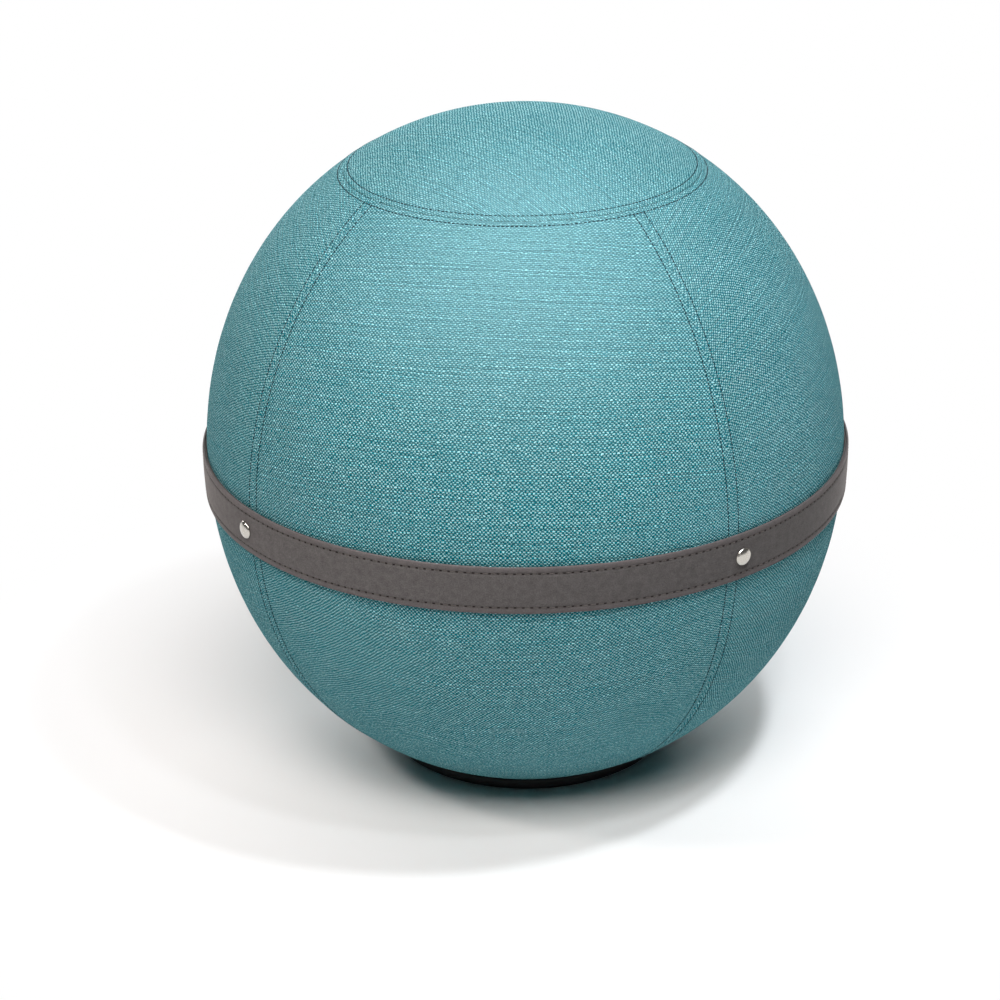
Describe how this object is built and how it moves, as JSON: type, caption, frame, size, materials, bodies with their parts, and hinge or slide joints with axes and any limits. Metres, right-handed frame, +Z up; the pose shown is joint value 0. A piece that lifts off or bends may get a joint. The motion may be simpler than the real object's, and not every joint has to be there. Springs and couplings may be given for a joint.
{
  "type": "sitting ball",
  "caption": "Inflated sitting ball in a woven panelled cover with a riveted suede carrying belt, standing on a low non-slip foot; the seat gives under load.",
  "frame": {"origin": "on the floor, under the middle of the ball", "axes": "+Z up through the crown; -Y out through the middle of the front panel; +X to the right seen from the front"},
  "size_m": [0.557, 0.557, 0.567],
  "materials": {
    "woven_cover": "coarse two-tone teal plain weave, matt",
    "black_base_cloth": "black woven base cloth",
    "binding_tape": "dark woven binding tape",
    "zip_tape": "black woven zip tape",
    "zip_coil": "black nylon coil",
    "belt_suede": "taupe suede-like belt with turned, stitched edges",
    "belt_lining": "plain belt lining",
    "nickel_plate": "nickel plate, polished dome",
    "foot_rubber": "black moulded non-slip rubber",
    "ballast_iron": "grey cast ring",
    "bladder_vinyl": "satin grey vinyl",
    "plug_vinyl": "white soft vinyl"
  },
  "bodies": {
    "ball": {"panel_front": "woven_cover", "panel_right": "woven_cover", "panel_back": "woven_cover", "panel_left": "woven_cover", "base_panel": "black_base_cloth", "seam_binding_front_right": "binding_tape", "seam_binding_rear_right": "binding_tape", "seam_binding_rear_left": "binding_tape", "seam_binding_front_left": "binding_tape", "zip_tape_left": "zip_tape", "zip_tape_right": "zip_tape", "zip_guard": "zip_tape", "zip_coil_left": "zip_coil", "zip_coil_right": "zip_coil", "belt_face": "belt_suede", "belt_lining": "belt_lining", "rivet_cap_front_right": "nickel_plate", "rivet_cap_rear_right": "nickel_plate", "rivet_cap_rear_left": "nickel_plate", "rivet_cap_front_left": "nickel_plate", "rivet_washer_front_right": "nickel_plate", "rivet_washer_rear_right": "nickel_plate", "rivet_washer_rear_left": "nickel_plate", "rivet_washer_front_left": "nickel_plate", "zip_top_stop": "nickel_plate", "zip_bottom_stop": "nickel_plate", "non_slip_foot": "foot_rubber", "ballast_ring": "ballast_iron", "bladder": "bladder_vinyl", "valve_collar": "bladder_vinyl"},
    "seat": {"top_panel": "woven_cover", "top_seam_binding": "binding_tape"},
    "plug": {"valve_plug": "plug_vinyl"},
    "slider": {"zip_slider": "nickel_plate"},
    "pull": {"zip_pull": "nickel_plate"}
  },
  "joints": [
    {"name": "seat_sink", "type": "slide", "parent": "ball", "child": "seat", "axis": [0, 0, -1], "range_m": [0, 0.06], "stiffness_N_per_m": 9000, "deforming": ["bladder"]},
    {"name": "zip_run", "type": "hinge", "parent": "ball", "child": "slider", "pos_m": [-0.01297, -0.01297, 0.26292], "axis": [-0.7071, 0.7071, 0], "range_deg": [0, 42]},
    {"name": "pull_flip", "type": "hinge", "parent": "slider", "child": "pull", "pos_m": [0.19468, 0.19468, 0.22931], "axis": [0.7071, -0.7071, 0], "range_deg": [0, 150]},
    {"name": "plug_draw", "type": "slide", "parent": "ball", "child": "plug", "axis": [0, 0, -1], "range_m": [0, 0.009]}
  ]
}
